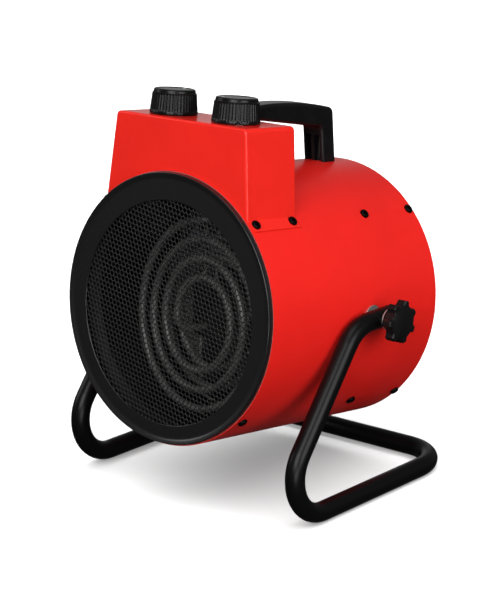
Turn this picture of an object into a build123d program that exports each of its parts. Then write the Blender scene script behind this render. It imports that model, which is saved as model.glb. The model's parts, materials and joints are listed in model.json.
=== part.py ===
from build123d import *
import math
import os

# Round forced air heater: a drum with a folded control box on top, hung by its
# sides in a bent tube stand. Millimetres, +Z up, front of the heater towards -Y.
# The drum and what it holds are drawn in the drum's own frame, whose origin is on
# the drum's axis at its front edge with +Y along the axis to the rear. They are
# then tipped nose up and hung on the stand's pivot.

# ---- drum -------------------------------------------------------------------
drum_radius = 110.0
drum_length = 207.0
sheet_wall = 1.0            # rolled and folded red sheet
pivot_depth = 121.5         # pivot axis behind the drum's front edge
nose_up = 7.0               # degrees, the drum's tilt at rest
fit_gap = 0.2               # between pieces of one body that nest in each other
upper_screw_angle = 44.3    # screws stand at these angles to the horizontal, four round the drum
lower_screw_angle = 45.0
front_screw_depth = 7.0
bracket_screw_depth = 142.0
rear_screw_depth = 201.0
screw_shank_radius = 1.9
screw_head_radius = 3.9
screw_head_height = 2.2

# ---- front ring and net ------------------------------------------------------
ring_flange_depth = 16.0
ring_proud = 3.0            # face plate in front of the drum's edge
ring_bead_proud = 4.6       # crest of the rolled bead near the rim
ring_sheet = 1.0
ring_bead_radius = 106.2
mouth_radius = 90.0
mouth_drop = 3.6            # mouth's centre below the drum's axis
net_overlap = 5.0
net_sheet = 0.9
net_pitch = 9.8
net_strand = 1.8
net_turn = -10.0            # degrees, rows of gaps lie off the horizontal

# ---- heat duct and heating elements -------------------------------------------
duct_radius = 101.0
duct_sheet = 0.7
duct_cone_start = 17.5
duct_cone_end = 24.0
duct_end = 111.0
coil_tube_radius = 3.25
coil_start_reach = 30.5     # first turn's reach to the left of the coil's centre
coil_pitch = 15.6           # growth of the spiral in one turn
coil_depth = 36.0           # front coil's plane behind the drum's front edge
coil_drop = 12.6
coil_side = 2.0
coil_turn = 9.0             # degrees, the pair of coils is turned about the vertical
coil_spacing = 16.0         # rear coil behind the front one
tail_bend_radius = 14.0
front_tail_angle = 101.3    # where the front coil leaves its spiral, near the top
rear_tail_angle = -80.0     # where the rear coil leaves its spiral, near the bottom
support_depth = 30.0        # support bar's front face behind the front coil's plane
support_sheet = 1.5
support_width = 24.0
support_tab = 14.0
support_arm_height = 46.0
tail_end = 41.0
tail_fit = 0.1
element_nut_height = 4.0
element_nut_flats = 11.0

# ---- fan and motor ------------------------------------------------------------
fan_plane = 104.0
fan_tip_radius = 92.0
fan_hub_radius = 21.0
fan_hub_depth = 20.0
fan_blade_count = 5
fan_blade_sheet = 1.4
shaft_radius = 4.0
shaft_fit = 0.04
motor_radius = 38.0
motor_front = 123.0
motor_depth = 46.0
motor_wall = 2.0
motor_end_cap_depth = 8.0
rotor_radius = 24.0
rotor_length = 26.0
bearing_radius = 8.0
bearing_length = 7.0
window_count = 10           # cooling windows round the motor's case
window_depth = 12.0
window_width = 5.0
window_length = 9.0
bracket_sheet = 1.6
bracket_arm_width = 22.0
bracket_tab = 14.0
bracket_rim = 11.0          # flat ring of the bracket round the motor
bracket_collar = 10.0

# ---- rear grille ----------------------------------------------------------------
rear_sheet = 1.0
rear_inset = 1.2            # face of the rear grille inside the drum's rear edge
rear_flange_depth = 14.0
rear_slot_width = 8.0
rear_rib = 4.6
rear_first_slot = 26.0
rear_slot_rings = 6
rear_spoke_width = 9.0
rear_spokes = 6

# ---- control box ------------------------------------------------------------------
box_front = 0.9
box_depth = 58.4
box_top = 150.6
box_top_width = 138.0
box_taper = 5.6             # degrees, each side leans out towards the drum
box_corner = 4.0
box_edge = 1.8
flange_reach = 9.6
flange_sheet = 1.0
box_rear_screw_depth = 50.4
wire_hole_width = 70.0
wire_hole_depth = 34.0

# ---- control knobs, switch and thermostat --------------------------------------------
knob_pitch = 66.5
knob_offset = 2.2           # middle of the pair, right of the drum's axis
knob_depth = 27.0
knob_base_radius = 19.4
knob_top_radius = 17.5
knob_height = 20.0
knob_lift = 0.5
knob_ribs = 36
knob_rib_cut = 0.85
knob_foot = 2.4             # plain band under the ribs
knob_crown = 3.4            # plain rounded crown above the ribs
knob_step = 0.6             # the crown stands back this far from the ribs
knob_edge = 1.8
knob_dish = 0.5
knob_lip = 0.4              # flat rim round the dished top
knob_wall = 6.0             # solid top above the spindle's bore
pointer_width = 1.6
pointer_start = 10.8
pointer_end = 15.9
pointer_sink = 0.6
switch_pointer_angle = 95.0
thermostat_pointer_angle = 200.0
spindle_radius = 3.0
bush_radius = 5.0
bush_nut_flats = 14.0
bush_nut_height = 2.4
switch_size = (34.0, 34.0, 26.0)
thermostat_size = (38.0, 30.0, 24.0)

# ---- cable gland and terminal block -------------------------------------------------------
gland_side = -42.0          # left of the axis, in the control box's rear wall
gland_height = 132.0
gland_thread_radius = 10.0
gland_flats = 24.0
gland_bore_radius = 4.5
gland_dome_length = 14.0
gland_collar = 6.0
gland_lock_height = 4.0
terminal_size = (27.0, 15.0, 14.0)
terminal_side = 1.5

# ---- thermal cut-out and leads ---------------------------------------------------------------
lug_pitch = 8.0
lug_sheet = 0.8
lug_width = 6.3
lug_length = 8.0
sleeve_wall = 0.85
sleeve_length = 8.0
sleeve_cap = 2.0
cutout_depth = 56.0
cutout_radius = 8.0
cutout_height = 6.6
cutout_strap = 0.6
cutout_ear = 12.0
cutout_lug_side = 4.5
cutout_lug_height = 104.4
cutout_screw_radius = 1.4
boot_radius = 4.8
boot_length = 6.7
boot_cap = 1.6
bead_radius = 2.6
bead_length = 4.0
lead_radius = 1.3
lead_grip = 8.0             # a lead's bare end in the terminal block
left_lane = -31.5           # a lead's path between the duct and the drum, left of the axis
right_lane = 30.0
rear_pass = 11.5            # front element's outer lead goes up this far behind its boot
terminal_height = 126.0

# ---- carry handle ----------------------------------------------------------------------------
handle_front = 60.5
handle_rear = 186.0
handle_width = 22.0
handle_crown_depth = 114.3
handle_tops = (157.5, 161.0, 155.2)     # heights over the front leg, the crown and the rear leg
handle_unders = (147.8, 144.4, 139.2)
handle_leg = 17.0
handle_front_slope = 0.10   # each leg leans in by this much of its height
handle_rear_slope = 0.1675
handle_corner = 6.0
handle_inner_corner = 4.0
handle_edge = 3.0
handle_wall = 3.0
handle_boss = 26.0
handle_screw_inset = 9.5
handle_screw_radius = 2.2

# ---- stand -------------------------------------------------------------------------------------
tube_radius = 8.0
tube_wall = 1.4
side_gap = 0.9              # washer between the drum's side and the stand tube
pivot_height = 149.6
arm_end = 12.0              # tube end behind the pivot
arm_bend_ahead = 32.8       # bend of the upper arm ahead of the pivot
foot_bend_ahead = 144.9     # front foot's corner ahead of the pivot
rear_bar_behind = 89.6
arm_bend_radius = 34.0
foot_bend_radius = 33.4
rear_bend_radius = 39.8
plug_lip = 1.5
plug_depth = 8.0

# ---- tilt knobs ----------------------------------------------------------------------------------
stud_radius = 4.0
stud_clearance = 0.08
nut_clearance = 0.05
washer_radius = 9.0
washer_sheet = 0.7
star_radius = 17.4
star_notch_depth = 4.0
star_notch_radius = 5.6
star_lobes = 7
star_thickness = 8.0
star_hub_radius = 8.6
star_hub_length = 6.0
star_crown = 2.0
star_edge = 1.4
plate_width = 34.0
plate_sheet = 2.0
nut_height = 6.5
nut_flats = 13.0

# ---- sizes that follow -----------------------------------------------------------------------------
drum_bore = drum_radius - sheet_wall
cutout_foot = cutout_depth - cutout_radius - lug_length - sleeve_cap
lane_height = math.sqrt((duct_radius + 4.4) ** 2 - left_lane ** 2)
motor_bore = motor_radius - motor_wall
tube_centre = drum_radius + side_gap + tube_radius
tube_face = tube_centre + tube_radius
ring_flange_radius = drum_bore - fit_gap
box_rear = box_front + box_depth
box_half_top = box_top_width / 2
coil_centre = Pos(coil_side, coil_depth, -coil_drop) * Rot(0, 0, -coil_turn)
upper_angles = [upper_screw_angle, 180 - upper_screw_angle]
lower_angles = [180 + lower_screw_angle, -lower_screw_angle]
screw_angles = upper_angles + lower_angles
pieces = {}


def group(shapes):
    """Like pieces that share one node, each still its own solid."""
    return Compound([solid for shape in shapes for solid in shape.solids()])


def tube_along_y(outer, inner, start, end):
    """A round tube about the drum's axis from depth start to depth end."""
    ring = Circle(outer) - Circle(inner)
    return Pos(0, end, 0) * Rot(90, 0, 0) * extrude(ring, end - start)


def disc_along_y(radius, start, end):
    return Pos(0, end, 0) * Rot(90, 0, 0) * extrude(Circle(radius), end - start)


def turned_about_y(points):
    """A ring turned about the drum's axis from its section, as (radius, depth) points."""
    section = make_face(Polyline(*points, close=True))
    return revolve(section, Axis.Y)


def hex_prism(flats, height):
    return extrude(RegularPolygon(flats / 2, 6, major_radius=False), height)


def on_drum(angle, depth, radius):
    """A frame on the drum's side whose +Z points straight out of it."""
    turn = math.radians(angle)
    place = Pos(radius * math.cos(turn), depth, radius * math.sin(turn))
    return place * Rot(0, 90 - angle, 0)


def round_screw(length, shank=screw_shank_radius, head=screw_head_radius, height=screw_head_height):
    """A pan head screw whose head rests on Z = 0 and whose shank runs down."""
    crown = fillet(Cylinder(head, height).edges().group_by(Axis.Z)[-1], height * 0.6)
    crown = Pos(0, 0, height / 2) * crown
    recess = Pos(0, 0, height) * (Box(head, head * 0.24, height) + Box(head * 0.24, head, height))
    shaft = Pos(0, 0, -length / 2) * Cylinder(shank, length)
    return crown - recess + shaft


def screw_set(angles, depth, stack):
    """Screws round the drum, through a stack of sheet that starts stack above the bore."""
    seat = drum_bore + stack
    reach = stack + 4.5
    return [on_drum(angle, depth, seat) * round_screw(reach) for angle in angles]


def drill_round(shape, angles, depth, radius=screw_shank_radius + fit_gap):
    """Holes through a curved wall round the drum."""
    for angle in angles:
        shape -= on_drum(angle, depth, drum_radius) * Cylinder(radius, 40)
    return shape


def make_drum():
    shell = tube_along_y(drum_radius, drum_bore, 0, drum_length)
    for depth in (front_screw_depth, bracket_screw_depth, rear_screw_depth):
        shell = drill_round(shell, screw_angles, depth)
    shell = drill_round(shell, upper_angles, box_rear_screw_depth)
    stud_hole = Rot(0, 90, 0) * Cylinder(stud_radius + stud_clearance, 3 * drum_radius)
    shell -= Pos(0, pivot_depth, 0) * stud_hole
    wire_hole = extrude(RectangleRounded(wire_hole_width, wire_hole_depth, 5), drum_radius)
    shell -= Pos(0, box_front + box_depth / 2, drum_radius / 2) * wire_hole
    for depth in handle_screw_depths():
        shell -= Pos(0, depth, drum_radius) * Cylinder(handle_screw_radius + fit_gap, 20)
    pieces["drum_shell"] = shell


def make_front_ring():
    """Pressed ring: flange inside the drum, rolled bead at the rim, flat plate, mouth."""
    flange = ring_flange_radius
    crest = ring_bead_radius
    valley = crest - 2.4
    plate = -ring_proud
    with BuildSketch() as section:
        with BuildLine():
            start = (flange, ring_flange_depth)
            Polyline(start, (flange, -1.2), (crest + 1.1, -ring_bead_proud + 0.3))
            ThreePointArc((crest + 1.1, -ring_bead_proud + 0.3), (crest + 0.3, -ring_bead_proud),
                          (crest - 0.5, -ring_bead_proud + 0.3))
            Polyline((crest - 0.5, -ring_bead_proud + 0.3), (valley, plate), (60, plate),
                     (60, plate + ring_sheet), (valley - 0.3, plate + ring_sheet),
                     (crest, -ring_bead_proud + 1.5), (flange - ring_sheet, -0.6),
                     (flange - ring_sheet, ring_flange_depth), start)
        make_face()
    ring = revolve(section.sketch, Axis.Y)
    mouth = Pos(0, 0, -mouth_drop) * disc_along_y(mouth_radius, -20, 20)
    ring -= mouth
    ring = drill_round(ring, screw_angles, front_screw_depth)
    pieces["front_ring"] = ring


def make_front_net():
    """A flat net of six-sided gaps behind the ring's mouth, one holed sheet."""
    limit = mouth_radius - net_pitch * 0.35
    gap_radius = (net_pitch - net_strand) / 2
    row_step = net_pitch * math.sqrt(3) / 2
    rows = int(limit / row_step) + 1
    places = []
    for row in range(-rows, rows + 1):
        shift = (row % 2) * net_pitch / 2
        for column in range(-rows - 1, rows + 2):
            x, z = column * net_pitch + shift, row * row_step
            if math.hypot(x, z) < limit:
                places.append((x, z))
    gap = RegularPolygon(gap_radius, 6, major_radius=False, rotation=30)
    sheet = Face(Circle(mouth_radius + net_overlap).wire(), [(Pos(x, z) * gap).wire() for x, z in places])
    print(f"net: {len(places)} gaps, strand {net_strand} mm")
    depth = -ring_proud + ring_sheet + fit_gap / 2
    net = Rot(0, -net_turn, 0) * Rot(90, 0, 0) * extrude(sheet, net_sheet)
    pieces["front_net"] = Pos(0, depth + net_sheet, -mouth_drop) * net


def make_duct():
    """Inner heat duct: its wide front end nests in the ring's flange."""
    wide = ring_flange_radius - ring_sheet - fit_gap
    narrow = duct_radius
    wall = duct_sheet
    duct = turned_about_y([
        (wide, 1.0), (wide, duct_cone_start), (narrow, duct_cone_end), (narrow, duct_end),
        (narrow - wall, duct_end), (narrow - wall, duct_cone_end),
        (wide - wall, duct_cone_start), (wide - wall, 1.0)])
    duct = drill_round(duct, screw_angles, front_screw_depth)
    for x, y in duct_passes():
        duct -= Pos(x, y, duct_radius) * Cylinder(bead_radius + fit_gap / 4, 20)
    screw_hole = Cylinder(cutout_screw_radius + fit_gap / 2, 8)
    for side in (1, -1):
        duct -= Pos(side * cutout_ear, cutout_depth, duct_radius) * screw_hole
    pieces["heat_duct"] = duct


def spiral_reaches(turns):
    """Reach of the spiral to the left and right of its centre at each half turn."""
    left = [coil_start_reach + coil_pitch * turn for turn in range(turns + 1)]
    right = [reach + coil_pitch / 2 for reach in left]
    return left, right


def half_turn(left, right, over):
    """Half a turn between -left and +right, over the top or back under the bottom."""
    middle, radius = (right - left) / 2, (right + left) / 2
    start = 180 if over else 0
    return Plane.XZ * CenterArc((middle, 0), radius, start, -180)


def last_arc(left, right, start, end):
    middle, radius = (right - left) / 2, (right + left) / 2
    return Plane.XZ * CenterArc((middle, 0), radius, start, end - start)


def tail_bend(place, heading, outward):
    """Quarter bend at place from heading (in the coil's plane) to straight back."""
    back = Vector(0, 1, 0)
    bend = tail_bend_radius
    if outward:
        end = place + heading * bend + back * bend
        middle = place + heading * bend * math.sin(math.pi / 4) + back * bend * (1 - math.cos(math.pi / 4))
        return ThreePointArc(place, middle, end), end
    end = place - heading * bend + back * bend
    middle = place - heading * bend * math.sin(math.pi / 4) + back * bend * (1 - math.cos(math.pi / 4))
    return ThreePointArc(end, middle, place), end


def coil_path(plane_depth, first_over):
    """One heating element: tail, spiral of half turns that widens steadily, tail."""
    left, right = spiral_reaches(3)
    if first_over:
        arcs = []
        for turn in range(3):
            arcs.append(half_turn(left[turn], right[turn], True))
            arcs.append(half_turn(left[turn + 1], right[turn], False))
        arcs.append(last_arc(left[3], right[3], 180, front_tail_angle))
        inner_heading = Vector(0, 0, 1)
    else:
        arcs = []
        for turn in range(2):
            arcs.append(half_turn(left[turn + 1], right[turn], False))
            arcs.append(half_turn(left[turn + 1], right[turn + 1], True))
        arcs.append(last_arc(left[3], right[2], 0, rear_tail_angle))
        inner_heading = Vector(0, 0, -1)
    inner, inner_end = tail_bend(arcs[0] @ 0, inner_heading, False)
    outer, outer_end = tail_bend(arcs[-1] @ 1, arcs[-1] % 1, True)
    stop = tail_end - plane_depth
    first = Line((inner_end.X, stop, inner_end.Z), inner_end)
    last = Line(outer_end, (outer_end.X, stop, outer_end.Z))
    return [first, inner, *arcs, outer, last], inner_end, outer_end


def make_coil(plane_depth, first_over):
    edges, inner_end, outer_end = coil_path(plane_depth, first_over)
    path = Wire([edge.edge() if hasattr(edge, "edge") else edge for edge in edges])
    start = Plane(origin=path @ 0, z_dir=path % 0)
    tube = sweep(start * Circle(coil_tube_radius), path)
    length = path.length
    print(f"coil: {length:.0f} mm long, volume ratio "
          f"{tube.volume / (length * math.pi * coil_tube_radius ** 2):.4f}, "
          f"least gap between turns {coil_pitch - 2 * coil_tube_radius:.1f} mm")
    tails = [(inner_end.X, inner_end.Z), (outer_end.X, outer_end.Z)]
    return Pos(0, plane_depth, 0) * tube, tails


def make_elements():
    """Two spiral heating elements, one behind the other, on a cross-shaped support."""
    front_coil, front_tails = make_coil(0, True)
    rear_coil, rear_tails = make_coil(coil_spacing, False)
    pieces["front_element"] = coil_centre * front_coil
    pieces["rear_element"] = coil_centre * rear_coil
    tails = front_tails + rear_tails
    bar = Rectangle(support_width, 3 * duct_radius)
    arm_half = max(abs(front_tails[0][0]), abs(rear_tails[0][0])) + 9
    outline = bar + Rectangle(2 * arm_half, support_arm_height)
    outline = fillet(outline.vertices().filter_by(lambda v: abs(v.Y) < duct_radius), 7)
    outline -= [Pos(x, z) * Circle(coil_tube_radius + tail_fit) for x, z in tails]
    plate = Pos(0, support_depth + support_sheet, 0) * Rot(90, 0, 0) * extrude(outline, support_sheet)
    tab_place = support_depth + support_tab / 2
    for side in (1, -1):
        reach = side * duct_radius + coil_drop
        plate += Pos(0, tab_place, reach - side * 2) * Box(support_width, support_tab, 6)
    plate = coil_centre * plate
    inside = duct_radius - duct_sheet - fit_gap / 2
    between_tabs = disc_along_y(inside - support_sheet, 0, drum_length)
    behind_plate = Pos(0, support_depth + support_sheet + 20, 0) * Box(3 * duct_radius, 40, 3 * duct_radius)
    support = plate & disc_along_y(inside, 0, drum_length)
    pieces["element_support"] = support - (between_tabs & coil_centre * behind_plate)
    nuts = []
    for x, z in tails:
        nut = hex_prism(element_nut_flats, element_nut_height)
        nut -= Cylinder(coil_tube_radius + tail_fit, 4 * element_nut_height)
        seat = support_depth + support_sheet + element_nut_height
        nuts.append(coil_centre * Pos(x, seat, z) * Rot(90, 0, 0) * nut)
    pieces["element_nuts"] = group(nuts)


def fan_blade():
    """A twisted pressed blade, steep at the root and flat at the tip."""
    sections = []
    stations = [(fan_hub_radius - 1.5, 26.0, 48.0), (56.0, 40.0, 34.0), (fan_tip_radius, 46.0, 24.0)]
    for radius, chord, pitch in stations:
        across = Plane(origin=(0, 0, radius), x_dir=(1, 0, 0), z_dir=(0, 0, 1))
        camber = chord * 0.07
        with BuildSketch() as outline:
            with BuildLine():
                half, thick = chord / 2, fan_blade_sheet / 2
                upper = ThreePointArc((-half, thick), (0, camber + thick), (half, thick))
                Line(upper @ 1, (half, -thick))
                lower = ThreePointArc((half, -thick), (0, camber - thick), (-half, -thick))
                Line(lower @ 1, upper @ 0)
            make_face()
        sections.append(across * Rot(0, 0, pitch) * outline.sketch)
    return loft(sections)


def make_fan():
    hub = disc_along_y(fan_hub_radius, fan_plane - fan_hub_depth / 2, fan_plane + fan_hub_depth / 2)
    hub = fillet(hub.edges().group_by(Axis.Y)[0], 4)
    blade = fan_blade()
    fan = hub
    for index in range(fan_blade_count):
        fan += Pos(0, fan_plane, 0) * Rot(0, index * 360 / fan_blade_count, 0) * blade
    fan &= disc_along_y(fan_tip_radius, fan_plane - 30, fan_plane + 30)
    fan -= disc_along_y(shaft_radius, 0, drum_length)
    pieces["fan"] = fan
    shaft_front = fan_plane - fan_hub_depth / 2 - 7
    shaft = disc_along_y(shaft_radius, shaft_front, motor_front + motor_depth + 3)
    pieces["motor_shaft"] = chamfer(shaft.edges(), 0.6)
    nut = hex_prism(nut_flats, 5) - Cylinder(shaft_radius, 30)
    pieces["fan_nut"] = Pos(0, fan_plane - fan_hub_depth / 2, 0) * Rot(90, 0, 0) * nut
    rotor_middle = motor_front + motor_depth / 2
    rotor = disc_along_y(rotor_radius, rotor_middle - rotor_length / 2, rotor_middle + rotor_length / 2)
    pieces["motor_rotor"] = rotor - disc_along_y(shaft_radius, 0, drum_length)


def make_motor():
    rear = motor_front + motor_depth
    split = rear - motor_end_cap_depth
    case = disc_along_y(motor_radius, motor_front, split)
    case = fillet(case.edges().group_by(Axis.Y)[0], 4)
    case -= disc_along_y(motor_bore, motor_front + motor_wall + 2, split)
    window = Pos(motor_radius, motor_front + window_depth, 0) * Box(10, window_width, window_length)
    for index in range(window_count):
        case -= Rot(0, index * 360 / window_count, 0) * window
    collar = disc_along_y(bearing_radius + 3, motor_front, motor_front + bearing_length)
    case += collar
    case -= disc_along_y(bearing_radius, 0, motor_front + bearing_length)
    cap = disc_along_y(motor_radius, split, rear)
    cap = fillet(cap.edges().group_by(Axis.Y)[-1], 3)
    cap -= disc_along_y(motor_bore, split, rear - motor_wall - 2)
    cap += disc_along_y(bearing_radius + 3, rear - bearing_length, rear)
    cap -= disc_along_y(bearing_radius, 0, rear)
    pieces["motor_case"] = case
    pieces["motor_end_cap"] = cap
    bush = tube_along_y(bearing_radius, shaft_radius + shaft_fit, 0, bearing_length)
    pieces["motor_bushes"] = group([
        Pos(0, motor_front, 0) * bush, Pos(0, rear - bearing_length, 0) * bush])
    stator = tube_along_y(motor_bore, rotor_radius + 0.5, motor_front + 9, split - 2)
    for index in range(4):
        slot = Rot(0, 45 + index * 90, 0) * Pos(rotor_radius + 5, motor_front + 20, 0)
        stator -= slot * Box(12, 60, 7)
    pieces["motor_stator"] = stator


def make_motor_bracket():
    """Pressed cross that holds the motor: a ring round its body and four arms."""
    face = bracket_screw_depth + bracket_tab / 2
    plate = disc_along_y(motor_radius + bracket_rim, face, face + bracket_sheet)
    inside = drum_bore - fit_gap / 2
    arm = Pos((motor_radius + drum_bore) / 2, face + bracket_sheet / 2, 0)
    arm *= Box(drum_bore - motor_radius + 6, bracket_sheet, bracket_arm_width)
    lip_length = bracket_tab + bracket_sheet
    lip = Pos(drum_bore, face + bracket_sheet - lip_length / 2, 0)
    lip *= Box(8, lip_length, bracket_arm_width)
    lip -= disc_along_y(inside - bracket_sheet, 0, 2 * drum_length)
    for angle in screw_angles:
        plate += Rot(0, -angle, 0) * (arm + lip)
    plate &= disc_along_y(inside, 0, 2 * drum_length)
    hug = motor_radius + fit_gap / 2
    plate -= disc_along_y(hug, 0, 2 * drum_length)
    plate += tube_along_y(hug + bracket_sheet, hug, face, face + bracket_collar)
    pieces["motor_bracket"] = drill_round(plate, screw_angles, bracket_screw_depth)
    pieces["motor_bracket_screws"] = group(
        screw_set(screw_angles, bracket_screw_depth, sheet_wall))


def make_rear_grille():
    """Pressed rear guard with rings of slots between six spokes."""
    face = drum_length - rear_inset
    outer = ring_flange_radius
    dish = turned_about_y([
        (outer, face - rear_flange_depth), (outer, face - 2.5), (outer - 2.5, face),
        (0, face), (0, face - rear_sheet), (outer - 2.9, face - rear_sheet),
        (outer - rear_sheet, face - 2.9), (outer - rear_sheet, face - rear_flange_depth)])
    spoke = Rectangle(2 * drum_radius, rear_spoke_width)
    spokes = Sketch() + [Rot(0, 0, index * 180 / (rear_spokes / 2)) * spoke
                         for index in range(rear_spokes // 2)]
    slots = Sketch()
    for index in range(rear_slot_rings):
        inner = rear_first_slot + index * (rear_slot_width + rear_rib)
        slots += Circle(inner + rear_slot_width) - Circle(inner)
    slots -= spokes
    cut = Pos(0, face + 5, 0) * Rot(90, 0, 0) * extrude(slots, 12)
    pieces["rear_grille"] = drill_round(dish - cut, screw_angles, rear_screw_depth)
    pieces["rear_grille_screws"] = group(
        screw_set(screw_angles, rear_screw_depth, sheet_wall))


def box_outline(top, inset):
    """Front view of the box: level top, sides that lean out down to the drum."""
    slope = math.tan(math.radians(box_taper))
    half_top = box_half_top - inset
    low = drum_radius * 0.5
    half_low = half_top + (top - low) * slope
    outline = make_face(Polyline((-half_low, low), (-half_top, top), (half_top, top),
                                 (half_low, low), close=True))
    return fillet(outline.vertices().group_by(Axis.Y)[-1], max(box_corner - inset, 1))


def box_block(top, inset, front, rear):
    block = extrude(box_outline(top, inset), rear - front)
    return Pos(0, rear, 0) * Rot(90, 0, 0) * block


def wall_meets_drum(seat):
    """Angle to the horizontal at which the box's side walls reach the drum."""
    slope = math.tan(math.radians(box_taper))
    angle = math.radians(45)
    for _ in range(12):
        angle = math.acos((box_half_top + (box_top - seat * math.sin(angle)) * slope) / seat)
    return angle


def flange_blank(seat, side):
    """Strip along the drum below one side wall, still too thick on the drum's side."""
    high = wall_meets_drum(seat) + 0.5 * sheet_wall / seat
    low = wall_meets_drum(seat) - flange_reach / seat
    corners = [(side * 150 * math.cos(angle), 150 * math.sin(angle)) for angle in (low, high)]
    wedge = make_face(Polyline((0, 0), *corners, close=True))
    strip = (Circle(seat + flange_sheet) - Circle(seat - 2)) & wedge
    front, rear = box_front + box_edge, box_rear - box_edge
    return Pos(0, rear, 0) * Rot(90, 0, 0) * extrude(strip, rear - front)


def make_control_box():
    """Folded box, open towards the drum, with a screwed flange along each side."""
    block = box_block(box_top, 0, box_front, box_rear)
    block = fillet(block.edges().filter_by(Axis.Y, reverse=True).filter_by(
        lambda edge: edge.center().Z > drum_radius * 0.55), box_edge)
    wall = sheet_wall
    hollow = box_block(box_top - wall, wall, box_front + wall, box_rear - wall)
    box = block - hollow
    seat = drum_radius + fit_gap / 2
    box += [flange_blank(seat, side) for side in (1, -1)]
    box -= disc_along_y(seat, -50, drum_length)
    for depth in (front_screw_depth, box_rear_screw_depth):
        box = drill_round(box, upper_angles, depth)
    for x in knob_places():
        box -= Pos(x, knob_depth, box_top) * Cylinder(bush_radius + fit_gap / 2, 10)
    box -= Pos(gland_side, box_rear, gland_height) * Rot(90, 0, 0) * Cylinder(
        gland_thread_radius + fit_gap / 2, 10)
    pieces["control_box"] = box
    stack = sheet_wall + fit_gap / 2 + flange_sheet
    pieces["control_box_screws"] = group(
        screw_set(upper_angles, box_rear_screw_depth, stack)
        + screw_set(upper_angles, front_screw_depth, stack))
    pieces["front_ring_screws"] = group(
        screw_set(lower_angles, front_screw_depth, sheet_wall))


def knob_places():
    return [knob_offset - knob_pitch / 2, knob_offset + knob_pitch / 2]


def make_control_knob(pointer_angle):
    """Tapered knob with fine ribs, and the pointer let into its top."""
    base, top, high = knob_base_radius, knob_top_radius, knob_height
    slope = (base - top) / high
    shoulder = high - knob_crown
    wide = base - slope * shoulder
    crown = top - knob_step
    section = Plane.XZ * make_face(Polyline(
        (0, 0), (base, 0), (wide, shoulder), (wide - knob_step, shoulder + knob_step),
        (crown, high), (0, high), close=True))
    body = revolve(section, Axis.Z)
    body = fillet(body.edges().group_by(Axis.Z)[-1], knob_edge)
    body -= Pos(0, 0, high) * Cylinder(crown - knob_edge - knob_lip, 2 * knob_dish)
    rib_middle = (knob_foot + shoulder) / 2
    slit = Pos(base - slope * rib_middle + knob_rib_cut / 4, 0, rib_middle)
    slit *= Rot(0, -math.degrees(math.atan(slope)), 0) * Rot(0, 0, 45)
    slit *= Box(knob_rib_cut * math.sqrt(2), knob_rib_cut * math.sqrt(2), shoulder - knob_foot)
    body -= [Rot(0, 0, index * 360 / knob_ribs) * slit for index in range(knob_ribs)]
    body -= Cylinder(spindle_radius, 2 * (high - knob_wall))
    body -= Cylinder(bush_radius + 5, 7)
    slot = Box(pointer_end - pointer_start, pointer_width, 2 * (knob_dish + pointer_sink))
    slot = Rot(0, 0, pointer_angle) * Pos((pointer_start + pointer_end) / 2, 0, high) * slot
    return body - slot, slot & body


def make_controls():
    """Two knobs on spindles, with the switch and the thermostat under the box's top."""
    names = ["switch", "thermostat"]
    sizes = [switch_size, thermostat_size]
    angles = [switch_pointer_angle, thermostat_pointer_angle]
    under = box_top - sheet_wall - fit_gap / 2
    for name, size, angle, x in zip(names, sizes, angles, knob_places()):
        knob, pointer = make_control_knob(angle)
        place = Pos(x, knob_depth, box_top + knob_lift)
        pieces[name + "_knob"] = place * knob
        pieces[name + "_pointer"] = place * pointer
        spindle_top = box_top + knob_lift + knob_height - knob_wall
        spindle_foot = under - size[2] * 0.6
        spindle = extrude(Circle(spindle_radius), spindle_top - spindle_foot)
        pieces[name + "_spindle"] = Pos(x, knob_depth, spindle_foot) * spindle
        body = Box(*size)
        body = Pos(x, knob_depth, under - size[2] / 2) * chamfer(body.edges().filter_by(Axis.Z), 2)
        bush_top = box_top + bush_nut_height + 0.6
        body += Pos(x, knob_depth, under) * extrude(Circle(bush_radius), bush_top - under)
        bore = spindle_radius + shaft_fit
        body -= Pos(x, knob_depth, spindle_foot) * extrude(Circle(bore), 60)
        for offset in (-lug_pitch, 0, lug_pitch):
            lug = Pos(x + offset, knob_depth, under - size[2] - lug_length / 2)
            body += lug * Box(lug_sheet, lug_width, lug_length)
        pieces[name] = body
        nut = hex_prism(bush_nut_flats, bush_nut_height) - Cylinder(bush_radius + fit_gap / 2, 20)
        pieces[name + "_nut"] = Pos(x, knob_depth, box_top) * nut


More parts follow.
